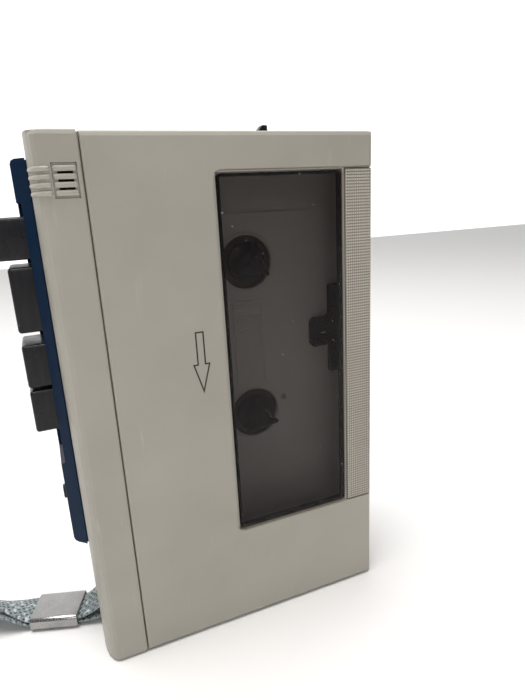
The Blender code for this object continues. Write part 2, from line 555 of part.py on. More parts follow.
def controls():
    """The side panel with its four keys and slide switch, the top switch, volume wheel and jacks."""
    y0, y1 = PANEL_Y
    outline = ((-FIT, y0), (-FIT, y1), (-2.6, y1), (-PANEL_OUT, y1 - 0.8), (-PANEL_OUT, y0 + 3.0))
    z0, z1 = PANEL_Z
    panel = rounded(prism(outline, 2, z0, z1), 1.0,
                    lambda a, b: a.x < -FIT - 0.1 and b.x < -FIT - 0.1 and abs(a.z - b.z) < 1e-4)
    well = prism(((-PANEL_OUT - 1, KEY_WELL_Z[0] - 3), (0.5, KEY_WELL_Z[0] + 1.5), (0.5, KEY_WELL_Z[1]),
                  (-PANEL_OUT - 1, KEY_WELL_Z[1])), 1, *KEY_WELL_Y)
    part("side_panel", "navy", panel, smooth=True, cuts=[
        well, block((-5, SWITCH_Y - 1.5, SWITCH_Z - 3.6), (1, SWITCH_Y + 1.5, SWITCH_Z + 3.6))])
    slots = []
    for name, (low, high, reach) in KEYS.items():
        middle = (low + high) / 2
        pivot = (-reach, (KEY_Y[0] + KEY_Y[1]) / 2, middle)
        cap = block((-reach, KEY_Y[0], low), (KEY_IN, KEY_Y[1], high))
        part(name, "black", rounded(cap, 0.7, on_plane(0, -reach)), pivot=pivot, smooth=True)
        bar = block((KEY_IN + FIT, 16.0, middle - 1.8), (8.4, 18.4, middle + 1.8))
        part(name.replace("_key", "_key_bar"), "steel", bar, pivot=pivot)
        slots.append(block((9, 15.0, middle - 2.4), (11.2, 18.8, middle + 2.4)))
    part("key_frame", "steel", block((9.6, 15.3, 59.0), (10.6, 20.6, 117.0)), cuts=slots)

    knob = block((-4.1, SWITCH_Y - 1.1, SWITCH_Z - 1.7), (3.0, SWITCH_Y + 1.1, SWITCH_Z + 1.7))
    part("slide_switch_knob", "black", knob, pivot=(-4.1, SWITCH_Y, SWITCH_Z))
    part("slide_switch_body", "black", block((3.4, SWITCH_Y - 3, SWITCH_Z - 6), (6.2, SWITCH_Y + 3, SWITCH_Z + 6)))
    left, right, top = TOP_KNOB_X - 1.4, TOP_KNOB_X + 1.4, BODY_H + TOP_KNOB_H
    knob = prism(((right, BODY_H - 4.0), (right, top), (TOP_KNOB_X, top), (left, BODY_H + 1.4),
                  (left, BODY_H - 4.0)), 1, 15.8, 18.2)
    part("top_switch_knob", "black", knob, pivot=(TOP_KNOB_X, 17.0, BODY_H))
    part("top_switch_body", "black", block((TOP_KNOB_X - 6, 14.0, BODY_H - 10.5), (TOP_KNOB_X + 6, 20.0, BODY_H - 4.4)))

    centre = (WHEEL_X, WHEEL_Z)
    part("volume_wheel", "black", disc(centre, WHEEL_R, WHEEL_Y, WHEEL_Y + WHEEL_T, sides=32),
         pivot=(WHEEL_X, WHEEL_Y, WHEEL_Z), smooth=True)
    part("volume_pot", "black", disc(centre, 5.2, BOARD_Y + BOARD_T + FIT, WHEEL_Y - FIT, sides=16), smooth=True)
    middle = (JACK_X[0] + JACK_X[1]) / 2
    holes = [(middle + d, (JACK_Y[0] + JACK_Y[1]) / 2) for d in (-2.7, 2.7)]
    top = BODY_H + FIT
    plate = rounded(block((JACK_X[0], JACK_Y[0], top), (JACK_X[1], JACK_Y[1], BODY_H + JACK_PROUD)), 0.5,
                    on_plane(2, BODY_H + JACK_PROUD), 1)
    part("jack_plate", "beige", plate, cuts=[disc(hole, 2.0, BODY_H - 1, BODY_H + 10, axis=2) for hole in holes], smooth=True)
    sockets = block((JACK_X[0] + 0.9, JACK_Y[0] + 0.9, BODY_H - JACK_DEPTH), (JACK_X[1] - 0.9, JACK_Y[1] - 0.9, BODY_H))
    part("jack_sockets", "black", sockets,
         cuts=[disc(hole, 1.8, BODY_H - JACK_DEPTH + 1, BODY_H + 10, axis=2, sides=12) for hole in holes])


def electronics():
    """The circuit board, its parts and the loudspeaker."""
    board = block((BOARD_X[0], BOARD_Y, BOARD_Z[0]), (BOARD_X[1], BOARD_Y + BOARD_T, BOARD_Z[1]))
    face = BOARD_Y + BOARD_T - 0.2
    part("circuit_board", "board", board, joins=[block((56, face, 82), (64, face + 3, 98)),
                                                 disc((60, 71), 3.0, face, face + 6.0, sides=16)])
    part("loudspeaker", "black", turned((
        (0, 21.0), (8.0, 21.0), (8.0, 24.6), (15.5, 28.4), (SPEAKER_R, 28.6), (SPEAKER_R, 29.9),
        (15.5, 29.9), (4.0, 27.6), (0, 27.2)), (SPEAKER_X, SPEAKER_Z), sides=28), smooth=True)


def strap_point(along, across, height):
    """A point of the strap's route, from its distance along, sideways and up, in body coordinates."""
    c, s = math.cos(STRAP_ANGLE), math.sin(STRAP_ANGLE)
    return Vector((BAR_X + along * c + across * s, BAR_Y + along * s - across * c, height))


def smooth_route(route, steps):
    """A smooth curve through the route's points, with a few steps between each two."""
    points = [Vector(point) for point in route]
    points = [2 * points[0] - points[1]] + points + [2 * points[-1] - points[-2]]
    found = []
    for i in range(1, len(points) - 2):
        before, a, b, after = points[i - 1:i + 3]
        for step in range(steps):
            t = step / steps
            found.append(0.5 * (2 * a + (b - before) * t + (2 * before - 5 * a + 4 * b - after) * t * t
                                + (3 * a - before - 3 * b + after) * t ** 3))
    return found + [points[-2]]


def strap():
    """The wrist strap, the bar that it passes round and the sleeve that clamps it."""
    part("strap_bar", "steel", disc((BAR_X, BAR_Z), BAR_R, 12.2, 27.8, sides=12), smooth=True)
    route = smooth_route(STRAP_ROUTE, STRAP_STEPS)
    centres = [strap_point(*point[:3]) for point in route]
    mesh = bmesh.new()
    rings = []
    across = strap_point(0, 1, 0) - strap_point(0, 0, 0)
    for i, centre in enumerate(centres):
        turn = min(max((abs(route[i][0]) - 2.0) / 6.0, 0.0), 1.0)
        flat = (world((0, 1, 0)) - world((0, 0, 0))).normalized().lerp(across.normalized(), turn).normalized()
        ahead = (centres[min(i + 1, len(centres) - 1)] - centres[max(i - 1, 0)]).normalized()
        lean = math.radians(route[i][3])
        side = (flat * math.cos(lean) - Vector((0, 0, 1)) * math.sin(lean))
        side = (side - ahead * side.dot(ahead)).normalized()
        thick = ahead.cross(side).normalized()
        half_w, half_t = STRAP_W / 2, STRAP_T / 2
        rings.append([mesh.verts.new(centre + side * a * half_w + thick * b * half_t)
                      for a, b in ((1, 1), (-1, 1), (-1, -1), (1, -1))])
    for a, b in zip(rings, rings[1:]):
        for i in range(4):
            j = (i + 1) % 4
            mesh.faces.new((a[i], a[j], b[j], b[i]))
    mesh.faces.new(rings[0])
    mesh.faces.new(rings[-1])
    part("wrist_strap", "braid", mesh)

    start, end, low, high = SLEEVE
    half = STRAP_W / 2 + FIT + SLEEVE_WALL
    tube = turned_box(start, end, half, low, high)
    hole = turned_box(start - 1, end + 1, half - SLEEVE_WALL, low + SLEEVE_WALL, high - SLEEVE_WALL)
    part("strap_sleeve", "steel", tube, cuts=[hole])


def turned_box(start, end, half, low, high):
    """A block in the strap's own directions."""
    mesh = block((start, -half, low), (end, half, high))
    for vert in mesh.verts:
        vert.co = strap_point(*vert.co)
    return mesh


def clear_scene():
    """Removes the objects of the start-up scene."""
    for obj in list(bpy.data.objects):
        bpy.data.objects.remove(obj)


clear_scene()
casing()
door()
deck()
reels()
drive()
heads()
controls()
electronics()
strap()
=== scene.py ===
"""Looks of a portable cassette dictation machine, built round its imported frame.

Sizes are millimetres in the case's own coordinates: x from the left side of the case to the right, y from
its front face to the back and z up from its underside. Case.at turns them into metres in the frame.
"""

import logging
import math
from dataclasses import dataclass, field
from enum import Enum

import bmesh
import bpy
import numpy as np
from mathutils import Matrix, Vector

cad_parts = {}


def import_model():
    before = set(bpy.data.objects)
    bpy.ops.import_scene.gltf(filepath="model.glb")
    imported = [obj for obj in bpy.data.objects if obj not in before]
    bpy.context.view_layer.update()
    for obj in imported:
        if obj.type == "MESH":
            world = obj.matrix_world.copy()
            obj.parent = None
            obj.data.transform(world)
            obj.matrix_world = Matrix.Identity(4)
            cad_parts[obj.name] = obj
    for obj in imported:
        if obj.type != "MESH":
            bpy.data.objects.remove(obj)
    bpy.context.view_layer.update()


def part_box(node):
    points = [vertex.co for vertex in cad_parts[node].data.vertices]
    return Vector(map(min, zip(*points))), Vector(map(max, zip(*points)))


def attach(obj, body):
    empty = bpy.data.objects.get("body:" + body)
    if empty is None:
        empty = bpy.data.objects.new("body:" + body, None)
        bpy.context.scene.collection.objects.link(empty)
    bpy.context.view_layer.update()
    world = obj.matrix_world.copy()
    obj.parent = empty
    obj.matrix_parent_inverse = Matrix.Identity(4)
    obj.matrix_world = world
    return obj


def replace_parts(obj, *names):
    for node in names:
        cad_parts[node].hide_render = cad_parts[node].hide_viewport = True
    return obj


MM = 0.001
LOG = logging.getLogger("dictation_machine")

Colour = tuple[float, float, float]
Point = tuple[float, float, float]


# ---------------------------------------------------------------- shader maths

class Signal:
    """A socket of a shader graph that can be used in a Python expression."""

    def __init__(self, graph: "Graph", socket: bpy.types.NodeSocket) -> None:
        """Wraps one output socket of the graph."""
        self.graph = graph
        self.socket = socket

    def _math(self, operation: str, *values: "Signal | float") -> "Signal":
        """Adds a Math node on these values and gives its result."""
        node = self.graph.node("ShaderNodeMath", {"operation": operation}, dict(enumerate(values)))
        return Signal(self.graph, node.outputs[0])

    def __add__(self, other: "Signal | float") -> "Signal":
        """This plus the other."""
        return self._math("ADD", self, other)

    def __sub__(self, other: "Signal | float") -> "Signal":
        """This minus the other."""
        return self._math("SUBTRACT", self, other)

    def __mul__(self, other: "Signal | float") -> "Signal":
        """This times the other."""
        return self._math("MULTIPLY", self, other)

    def __rsub__(self, other: float) -> "Signal":
        """A number minus this."""
        return self._math("SUBTRACT", other, self)

    __radd__ = __add__
    __rmul__ = __mul__

    def sine(self) -> "Signal":
        """The sine of this, in radians."""
        return self._math("SINE", self)

    def largest(self, other: "Signal | float") -> "Signal":
        """The larger of this and the other."""
        return self._math("MAXIMUM", self, other)

    def stretch(self, low: float, high: float, start: float = 0.0, end: float = 1.0) -> "Signal":
        """Maps low to high onto start to end, and clamps.

        Args:
            low: the value that becomes start.
            high: the value that becomes end.
            start: the lower result.
            end: the upper result.

        Returns:
            The mapped signal.
        """
        node = self.graph.node("ShaderNodeMapRange", {"clamp": True},
                               {"Value": self, "From Min": low, "From Max": high,
                                "To Min": start, "To Max": end})
        return Signal(self.graph, node.outputs[0])


class Graph:
    """The node graph of one material."""

    def __init__(self, name: str) -> None:
        """Starts an empty material with its output."""
        self.material = bpy.data.materials.new(name)
        self.material.use_nodes = True
        self.tree = self.material.node_tree
        self.tree.nodes.clear()
        self.output = self.tree.nodes.new("ShaderNodeOutputMaterial")

    def node(self, kind: str, settings: dict | None = None, inputs: dict | None = None) -> bpy.types.Node:
        """Adds a node with its settings and then its inputs.

        Args:
            kind: the node's type.
            settings: attributes of the node, set first.
            inputs: values or signals by socket name or number.

        Returns:
            The node.
        """
        node = self.tree.nodes.new(kind)
        for key, value in (settings or {}).items():
            setattr(node, key, value)
        for key, value in (inputs or {}).items():
            if isinstance(value, Signal):
                self.tree.links.new(value.socket, node.inputs[key])
            else:
                node.inputs[key].default_value = value
        return node

    def place(self, stretch: Point = (1, 1, 1)) -> Signal:
        """Object coordinates, multiplied along each axis."""
        coordinates = self.node("ShaderNodeTexCoord")
        mapping = self.node("ShaderNodeMapping", inputs={"Vector": Signal(self, coordinates.outputs["Object"]),
                                                         "Scale": stretch})
        return Signal(self, mapping.outputs[0])

    def lengthways(self) -> tuple[Signal, Signal]:
        """The piece's own UV coordinates, in millimetres."""
        coordinates = self.node("ShaderNodeTexCoord")
        parts = self.node("ShaderNodeSeparateXYZ", inputs={0: Signal(self, coordinates.outputs["UV"])})
        return Signal(self, parts.outputs[0]), Signal(self, parts.outputs[1])

    def noise(self, per_metre: float, detail: float = 2.0, stretch: Point = (1, 1, 1)) -> Signal:
        """Noise of a given fineness on Object coordinates.

        Args:
            per_metre: how many features fit in a metre.
            detail: octaves of finer noise.
            stretch: multiplies the coordinates along each axis.

        Returns:
            The noise, from 0 to 1.
        """
        node = self.node("ShaderNodeTexNoise", inputs={"Vector": self.place(stretch), "Scale": per_metre,
                                                       "Detail": detail})
        return Signal(self, node.outputs[0])

    def mixed(self, factor: Signal, first: Colour | Signal, second: Colour | Signal) -> Signal:
        """A colour between two others."""
        ends = [value if isinstance(value, Signal) else (*value, 1.0) for value in (first, second)]
        node = self.node("ShaderNodeMix", {"data_type": "RGBA"}, {0: factor, 6: ends[0], 7: ends[1]})
        return Signal(self, node.outputs[2])

    def bump(self, height: Signal, depth: float, strength: float = 1.0) -> Signal:
        """A normal from a height, where a height of 1 stands depth metres out."""
        node = self.node("ShaderNodeBump", inputs={"Strength": strength, "Distance": depth, "Height": height})
        return Signal(self, node.outputs[0])

    def surface(self, **inputs: "Signal | float | Colour") -> bpy.types.Material:
        """Ends the graph with a Principled shader. An underscore in a name stands for a space."""
        named = {}
        for key, value in inputs.items():
            is_colour = isinstance(value, tuple) and len(value) == 3
            named[key.replace("_", " ")] = (*value, 1.0) if is_colour else value
        shader = self.node("ShaderNodeBsdfPrincipled", inputs=named)
        self.tree.links.new(shader.outputs[0], self.output.inputs[0])
        return self.material


# ---------------------------------------------------------------- finishes

@dataclass(frozen=True)
class Moulded:
    """Moulded plastic: fine grain, slightly uneven colour, dust and small scuffs."""

    name: str
    colour: Colour
    roughness: float = 0.45
    grain_depth: float = 0.000012
    grain_per_metre: float = 4200.0
    scuff: Colour = (0.62, 0.60, 0.56)
    scuff_amount: float = 0.25
    specular: float = 0.5

    def material(self) -> bpy.types.Material:
        """The finish as a material."""
        g = Graph(self.name)
        cloud = g.noise(38.0, 3.0)
        grain = g.noise(self.grain_per_metre, 1.0)
        streak = g.noise(420.0, 2.0, (1.0, 1.0, 0.16)).stretch(0.66, 0.78)
        patch = g.noise(65.0, 2.0).stretch(0.5, 0.68)
        scuffs = streak * patch * self.scuff_amount
        darker = tuple(channel * 0.93 for channel in self.colour)
        lighter = tuple(min(channel * 1.05, 1.0) for channel in self.colour)
        colour = g.mixed(cloud.stretch(0.3, 0.7), darker, lighter)
        colour = g.mixed(scuffs, colour, self.scuff)
        rough = cloud.stretch(0.3, 0.7, self.roughness - 0.04, self.roughness + 0.05) + scuffs * 0.2
        return g.surface(Base_Color=colour, Roughness=rough, Specular_IOR_Level=self.specular,
                         Normal=g.bump(grain, self.grain_depth))


@dataclass(frozen=True)
class Knurled:
    """Moulded plastic with knurled bumps: light tops, and valleys painted darker as shade.

    Attributes:
        name: the material's name.
        crest: colour of the tops.
        valley_shade: the painted shade colour of the valleys.
        span: world y of the tops and of the valleys, in metres.
    """

    name: str
    crest: Colour
    valley_shade: Colour
    span: tuple[float, float]

    def material(self) -> bpy.types.Material:
        """The finish as a material."""
        g = Graph(self.name)
        parts = g.node("ShaderNodeSeparateXYZ", inputs={0: g.place()})
        # Painted shade: the deeper a point lies, the more it takes the dark valley colour.
        sunk_shade = Signal(g, parts.outputs[1]).stretch(*self.span)
        cloud = g.noise(60.0, 3.0).stretch(0.3, 0.7)
        crest = g.mixed(cloud, self.crest, tuple(channel * 0.93 for channel in self.crest))
        return g.surface(Base_Color=g.mixed(sunk_shade, crest, self.valley_shade), Roughness=sunk_shade * 0.2 + 0.4)


@dataclass(frozen=True)
class GlossBlack:
    """Black plastic that handling has polished, with fine hairlines and dust."""

    name: str
    colour: Colour = (0.012, 0.012, 0.014)
    roughness: float = 0.28
    dust: Colour = (0.30, 0.28, 0.26)
    dust_amount: float = 0.35

    def material(self) -> bpy.types.Material:
        """The finish as a material."""
        g = Graph(self.name)
        specks = g.noise(2600.0, 1.0).stretch(0.72, 0.80)
        hairline = g.noise(900.0, 2.0, (1.0, 1.0, 0.10)).stretch(0.35, 0.75)
        wear = g.noise(160.0, 3.0)
        lighter = tuple(channel * 2.2 + 0.003 for channel in self.colour)
        colour = g.mixed(hairline * wear, self.colour, lighter)
        colour = g.mixed(specks * self.dust_amount, colour, self.dust)
        rough = wear.stretch(0.3, 0.7, self.roughness - 0.06, self.roughness + 0.14)
        return g.surface(Base_Color=colour, Roughness=rough, Specular_IOR_Level=0.28,
                         Normal=g.bump(hairline, 0.000008))


@dataclass(frozen=True)
class Metal:
    """Brushed, rolled or turned metal."""

    name: str
    colour: Colour
    roughness: float = 0.3
    brushed: Point = (1.0, 1.0, 14.0)
    depth: float = 0.000006

    def material(self) -> bpy.types.Material:
        """The finish as a material."""
        g = Graph(self.name)
        lines = g.noise(520.0, 3.0, self.brushed)
        tarnish = g.noise(130.0, 3.0)
        darker = tuple(channel * 0.72 for channel in self.colour)
        colour = g.mixed(tarnish.stretch(0.35, 0.75), self.colour, darker)
        rough = lines.stretch(0.3, 0.7, self.roughness - 0.08, self.roughness + 0.12)
        return g.surface(Base_Color=colour, Roughness=rough, Metallic=1.0, Normal=g.bump(lines, self.depth))


@dataclass(frozen=True)
class SmokedPane:
    """Clear smoked plastic: mostly see-through, glossy, with dust and fine scratches."""

    name: str
    tint: Colour = (0.012, 0.010, 0.010)
    alpha: float = 0.40
    dust: Colour = (0.55, 0.52, 0.50)

    def material(self) -> bpy.types.Material:
        """The finish as a material."""
        g = Graph(self.name)
        specks = g.noise(1300.0, 1.0).stretch(0.76, 0.80)
        scratches = g.noise(260.0, 1.0, (4.0, 1.0, 0.35)).stretch(0.76, 0.80)
        marks = (specks + scratches * 0.10).stretch(0.0, 1.0)
        colour = g.mixed(marks * 0.8, self.tint, self.dust)
        rough = g.noise(90.0, 2.0).stretch(0.3, 0.8, 0.04, 0.12) + marks * 0.3
        return g.surface(Base_Color=colour, Roughness=rough, IOR=1.49, Specular_IOR_Level=0.2,
                         Alpha=marks * 0.3 + self.alpha)


@dataclass(frozen=True)
class SparklingEdge:
    """The sawn edge of the pane: near black, glossy, with bright specks painted along it as glints."""

    name: str
    colour: Colour = (0.006, 0.005, 0.005)
    glint: Colour = (0.60, 0.60, 0.60)

    def material(self) -> bpy.types.Material:
        """The finish as a material."""
        g = Graph(self.name)
        # Painted glints: bright specks in the base colour stand in for light caught by the edge.
        glints = g.noise(2600.0, 2.0).stretch(0.70, 0.74)
        return g.surface(Base_Color=g.mixed(glints, self.colour, self.glint), Roughness=0.15 + glints * 0.3)


@dataclass(frozen=True)
class Braid:
    """Flat braided yarn: strands crossing both ways, with pale flecks and loose fibres."""

    name: str
    dark: Colour = (0.045, 0.062, 0.070)
    light: Colour = (0.27, 0.32, 0.33)
    fleck: Colour = (0.74, 0.77, 0.76)
    strand: float = 1.8

    def material(self) -> bpy.types.Material:
        """The finish as a material. The UV map holds the distances along and across the braid."""
        g = Graph(self.name)
        along, across = g.lengthways()
        turn = 2 * math.pi / self.strand
        one = (along * turn + across * turn).sine()
        two = (along * turn - across * turn).sine()
        crossing = one.largest(two)
        yarn = g.noise(2300.0, 3.0)
        flecks = g.noise(760.0, 2.0).stretch(0.56, 0.66)
        colour = g.mixed(crossing.stretch(-0.5, 1.0), self.dark, self.light)
        colour = g.mixed(flecks * 0.75, colour, self.fleck)
        colour = g.mixed(yarn.stretch(0.35, 0.8) * 0.4, colour, self.dark)
        return g.surface(Base_Color=colour, Roughness=0.92, Sheen_Weight=0.25, Sheen_Roughness=0.5,
                         Normal=g.bump(crossing * 0.5 + yarn * 0.5, 0.00018))


@dataclass(frozen=True)
class Plain:
    """A matt surface that is the same all over, for the floor and the backdrop."""

    name: str
    colour: Colour
    roughness: float = 0.9
    glow: float = 0.0

    def material(self) -> bpy.types.Material:
        """The finish as a material."""
        return Graph(self.name).surface(Base_Color=self.colour, Roughness=self.roughness,
                                        Emission_Color=(1.0, 1.0, 1.0), Emission_Strength=self.glow)


class Finish(Enum):
    """The finishes of the machine."""

    CASE = Moulded("case_plastic", (0.375, 0.356, 0.306))
    GRILLE = Moulded("grille_plastic", (0.42, 0.395, 0.34), 0.35, scuff_amount=0.1)
    NAVY = Moulded("navy_panel", (0.002, 0.015, 0.042), 0.42, 0.00003, 2600.0, (0.05, 0.10, 0.16), 0.4, 0.12)
    DECK = Moulded("deck_plastic", (0.62, 0.57, 0.53), 0.5, 0.00001, 3600.0, (0.30, 0.28, 0.25), 0.3)
    FLOOR_OF_HOLE = Moulded("reel_table_plastic", (0.10, 0.065, 0.045), 0.5)
    GUIDE = GlossBlack("guide_black", (0.010, 0.009, 0.009), 0.42, dust_amount=0.1)
    KNURL = Knurled("knurled_plastic", (0.70, 0.665, 0.585), (0.29, 0.265, 0.225), (-0.01575, -0.01545))
    KEY = GlossBlack("key_black", (0.008, 0.008, 0.010), 0.30)
    SPINDLE = GlossBlack("spindle_black", (0.003, 0.003, 0.005), 0.12, dust_amount=0.1)
    BLACK = GlossBlack("inner_black", (0.02, 0.02, 0.02), 0.5)
    # Near black painted shade, for the holes between the grille's bars.
    SLOT = Moulded("painted_slot_shade", (0.004, 0.003, 0.003), 0.8, specular=0.05)
    # Brown painted shade, for the gap beside the door and the line round the pane's recess.
    SEAM = Moulded("painted_seam_shade", (0.24, 0.18, 0.14), 0.7, specular=0.1)
    INK = Moulded("arrow_ink", (0.020, 0.012, 0.008), 0.5, scuff_amount=0.0)
    RUBBER = Moulded("rubber", (0.018, 0.018, 0.018), 0.8, 0.00003, 2600.0, (0.1, 0.1, 0.1), 0.2, 0.3)
    BOARD = Moulded("board_resist", (0.03, 0.12, 0.05), 0.35, 0.00001)
    PIN = Moulded("deck_pin_plastic", (0.34, 0.32, 0.30), 0.3)
    PANE = SmokedPane("smoked_pane")
    PANE_EDGE = SparklingEdge("pane_edge")
    STEEL = Metal("steel", (0.62, 0.61, 0.59), 0.28)
    SLEEVE = Metal("sleeve_steel", (0.38, 0.375, 0.37), 0.26, (9.0, 1.0, 1.0), 0.000002)
    BRASS = Metal("brass", (0.75, 0.55, 0.26), 0.25)
    HEAD = Metal("polished_head", (0.75, 0.74, 0.72), 0.14)
    STRAP = Braid("strap_braid")
    FLOOR = Plain("floor", (0.90, 0.895, 0.89))
    BACKDROP = Plain("backdrop", (0.9, 0.9, 0.9), glow=0.8)

    def on(self, piece: bpy.types.Object) -> bpy.types.Object:
        """Gives a piece this finish, made once."""
        material = bpy.data.materials.get(self.value.name) or self.value.material()
        piece.data.materials.clear()
        piece.data.materials.append(material)
        return piece


# ---------------------------------------------------------------- places and meshes

@dataclass
class Case:
    """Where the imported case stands, and the places on it.

    Attributes:
        left: world x of the case's left side, in metres.
        front: world y of its front face.
        bottom: world z of its underside.
    """

    left: float
    front: float
    bottom: float

    @classmethod
    def measured(cls) -> "Case":
        """Reads the case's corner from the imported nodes."""
        strip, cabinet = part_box("front_strip"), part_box("rear_cabinet")
        return cls(strip[0][0], strip[0][1], cabinet[0][2])

    def at(self, points: np.ndarray) -> np.ndarray:
        """Places in the frame, in metres, of points on the case in millimetres."""
        return np.asarray(points, float) * MM + (self.left, self.front, self.bottom)

    def corners(self, node: str) -> tuple[np.ndarray, np.ndarray]:
        """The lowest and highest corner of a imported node, in millimetres on the case."""
        low, high = (np.asarray(corner, float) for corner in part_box(node))
        origin = np.array((self.left, self.front, self.bottom))
        return (low - origin) / MM, (high - origin) / MM


def as_object(name: str, vertices: np.ndarray, faces: list, smooth_below: float = 40.0,
              uvs: np.ndarray | None = None) -> bpy.types.Object:
    """Makes an object of world points and faces, with its faces outwards.

    Args:
        name: the piece's name.
        vertices: an array of points in metres.
        faces: tuples of vertex numbers.
        smooth_below: edges bent less than this many degrees are shaded smooth.
        uvs: two coordinates for each vertex, where the finish needs them.

    Returns:
        The object, at the origin.
    """
    mesh = bpy.data.meshes.new(name)
    mesh.from_pydata(np.asarray(vertices, float).reshape(-1, 3).tolist(), [], faces)
    if uvs is not None:
        loops = np.empty(len(mesh.loops), dtype=np.int32)
        mesh.loops.foreach_get("vertex_index", loops)
        layer = mesh.uv_layers.new(name="UVMap")
        layer.data.foreach_set("uv", uvs.reshape(-1, 2)[loops].astype(np.float32).ravel())
    shell = bmesh.new()
    shell.from_mesh(mesh)
    bmesh.ops.remove_doubles(shell, verts=shell.verts, dist=1e-7)
    bmesh.ops.dissolve_degenerate(shell, dist=1e-8, edges=shell.edges)
    bmesh.ops.recalc_face_normals(shell, faces=shell.faces)
    shell.to_mesh(mesh)
    shell.free()
    mesh.shade_smooth()
    mesh.set_sharp_from_angle(angle=math.radians(smooth_below))
    piece = bpy.data.objects.new(name, mesh)
    bpy.context.scene.collection.objects.link(piece)
    return piece


def grid_faces(rows: int, columns: int, wrap_rows: bool, wrap_columns: bool) -> list:
    """The four-cornered faces of a grid of vertices, as lists of vertex numbers."""
    r = np.arange(rows if wrap_rows else rows - 1)[:, None]
    c = np.arange(columns if wrap_columns else columns - 1)[None, :]
    r2, c2 = (r + 1) % rows, (c + 1) % columns
    corners = (r * columns + c, r2 * columns + c, r2 * columns + c2, r * columns + c2)
    return np.stack([np.broadcast_to(a, (r.size, c.size)) for a in corners], -1).reshape(-1, 4).tolist()


def tube(name: str, points: np.ndarray, wrap_rows: bool = False, smooth_below: float = 40.0,
         uvs: np.ndarray | None = None) -> bpy.types.Object:
    """A surface through closed rings of points, its ends capped where the rings don't close.

    Args:
        name: the piece's name.
        points: rings by points by three, in metres.
        wrap_rows: whether the last ring joins the first.
        smooth_below: edges bent less than this many degrees are shaded smooth.
        uvs: rings by points by two.

    Returns:
        The object.
    """
    rows, columns = points.shape[:2]
    faces = grid_faces(rows, columns, wrap_rows, True)
    if not wrap_rows:
        faces += [list(range(columns)), list(range((rows - 1) * columns, rows * columns))]
    return as_object(name, points, faces, smooth_below, uvs)


def rounded_outline(low: tuple[float, float], high: tuple[float, float], radius: float,
                    steps: int = 7) -> np.ndarray:
    """The outline of a rectangle with round corners: the nearest corner's centre plus the radius."""
    angle = (np.arange(4)[:, None] * 0.5 + np.linspace(0, 0.5, steps)[None, :]).ravel() * math.pi
    corner = np.repeat(np.arange(4), steps)
    centre_u = np.where((corner == 0) | (corner == 3), high[0] - radius, low[0] + radius)
    centre_v = np.where(corner < 2, high[1] - radius, low[1] + radius)
    return np.stack([centre_u + radius * np.cos(angle), centre_v + radius * np.sin(angle)], -1)


def plate(name: str, case: Case, low: tuple[float, float], high: tuple[float, float], radius: float,
          levels: tuple, axis: int = 1, steps: int = 7) -> bpy.types.Object:
    """A plate with round corners, made of outlines that are drawn in by an inset at each level.

    Args:
        name: the piece's name.
        case: the case it belongs to.
        low: its lowest corner across the axis.
        high: its highest corner across the axis.
        radius: the corners' radius.
        levels: pairs of inset and place along the axis, from one cap to the other.
        axis: 0, 1 or 2, the axis that the plate faces.
        steps: points on each corner.

    Returns:
        The object.
    """
    rings = []
    for inset, level in levels:
        flat = rounded_outline((low[0] + inset, low[1] + inset), (high[0] - inset, high[1] - inset),
                               max(radius - inset, 0.02), steps)
        rings.append(np.insert(flat, axis, level, axis=1))
    return tube(name, case.at(np.stack(rings)))


def turned(name: str, case: Case, profile: np.ndarray, centre: tuple[float, float], axis: int = 1,
           sides: int = 64, closed: bool = False) -> bpy.types.Object:
    """A profile of radius and depth turned about an axis: radius times (cos, sin) of the angle round it.

    Args:
        name: the piece's name.
        case: the case it belongs to.
        profile: points of radius and place along the axis.
        centre: the axis's place on the other two axes.
        axis: 0, 1 or 2.
        sides: steps round the axis.
        closed: whether the profile closes on itself, as a ring's does.

    Returns:
        The object.
    """
    profile = np.asarray(profile, float)
    angle = np.arange(sides) / sides * 2 * math.pi
    u = centre[0] + profile[:, :1] * np.cos(angle)[None, :]
    v = centre[1] + profile[:, :1] * np.sin(angle)[None, :]
    depth = np.broadcast_to(profile[:, 1:], u.shape)
    parts = [u, v]
    parts.insert(axis, depth)
    return tube(name, case.at(np.stack(parts, -1)), wrap_rows=closed)


def pillow(name: str, case: Case, low: Point, high: Point, radius: float, steps: int = 6) -> bpy.types.Object:
    """A rounded box: for each direction, the corner of the inner box on that side plus the radius along it.

    Args:
        name: the piece's name.
        case: the case it belongs to.
        low: its lowest corner.
        high: its highest corner.
        radius: the radius of its edges and corners.
        steps: points on each quarter turn.

    Returns:
        The object.
    """
    low, high = np.asarray(low, float), np.asarray(high, float)
    quarter = np.linspace(0, math.pi / 2, steps)
    turn = np.concatenate([quarter + k * math.pi / 2 for k in range(4)])
    rise = np.concatenate([quarter - math.pi / 2, quarter])
    quadrant = np.arange(turn.size) // steps
    side = np.stack([np.where((quadrant == 0) | (quadrant == 3), 1, -1),
                     np.where(quadrant < 2, 1, -1)], -1)
    top = np.where(np.arange(rise.size) < steps, -1, 1)
    direction = np.stack([np.cos(rise)[:, None] * np.cos(turn), np.cos(rise)[:, None] * np.sin(turn),
                          np.broadcast_to(np.sin(rise)[:, None], (rise.size, turn.size))], -1)
    corner = np.stack([np.broadcast_to(side[:, 0], direction.shape[:2]),
                       np.broadcast_to(side[:, 1], direction.shape[:2]),
                       np.broadcast_to(top[:, None], direction.shape[:2])], -1)
    points = (low + high) / 2 + corner * ((high - low) / 2 - radius) + direction * radius
    return tube(name, case.at(points))


